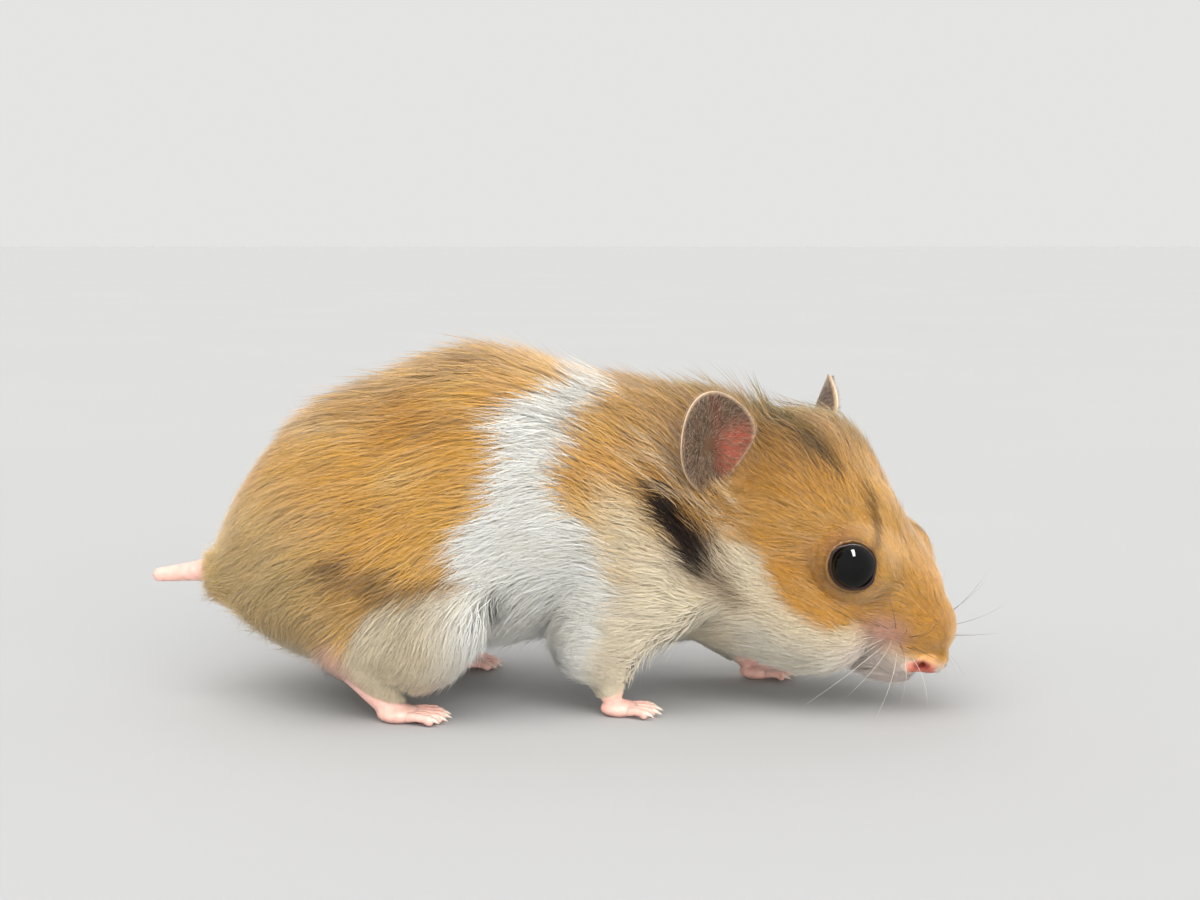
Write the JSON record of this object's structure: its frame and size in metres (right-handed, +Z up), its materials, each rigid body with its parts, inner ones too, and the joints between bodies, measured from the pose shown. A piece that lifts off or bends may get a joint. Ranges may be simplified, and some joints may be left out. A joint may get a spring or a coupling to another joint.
{
  "type": "syrian hamster",
  "caption": "Life-size still Syrian hamster in a low walking step, golden coat with a white band, head turned a little to its right.",
  "frame": {"origin": "on the floor, under the middle of the whole outline", "axes": "+X the way the animal walks, +Y its left side, +Z up"},
  "size_m": [0.1198, 0.0516, 0.0535],
  "materials": {
    "golden_fur": "soft matt golden fur with a white band and a dark cheek flash",
    "white_fur": "soft matt white fur",
    "bare_skin": "thin pink skin, slightly moist on the nose",
    "ear_skin": "thin grey-brown skin with fine pale down",
    "eye": "wet glossy black"
  },
  "bodies": {
    "root": {"rump": "golden_fur", "loin": "white_fur", "chest": "white_fur", "neck": "golden_fur", "tail": "bare_skin", "thigh_right": "golden_fur", "thigh_left": "golden_fur", "foreleg_right": "white_fur", "foreleg_left": "white_fur", "hind_foot_right": "bare_skin", "hind_foot_left": "bare_skin", "forepaw_right": "bare_skin", "forepaw_left": "bare_skin", "head": "golden_fur", "nose": "bare_skin", "lower_jaw": "white_fur", "eye_right": "eye", "eye_left": "eye", "ear_right": "ear_skin", "ear_left": "ear_skin"}
  },
  "joints": []
}
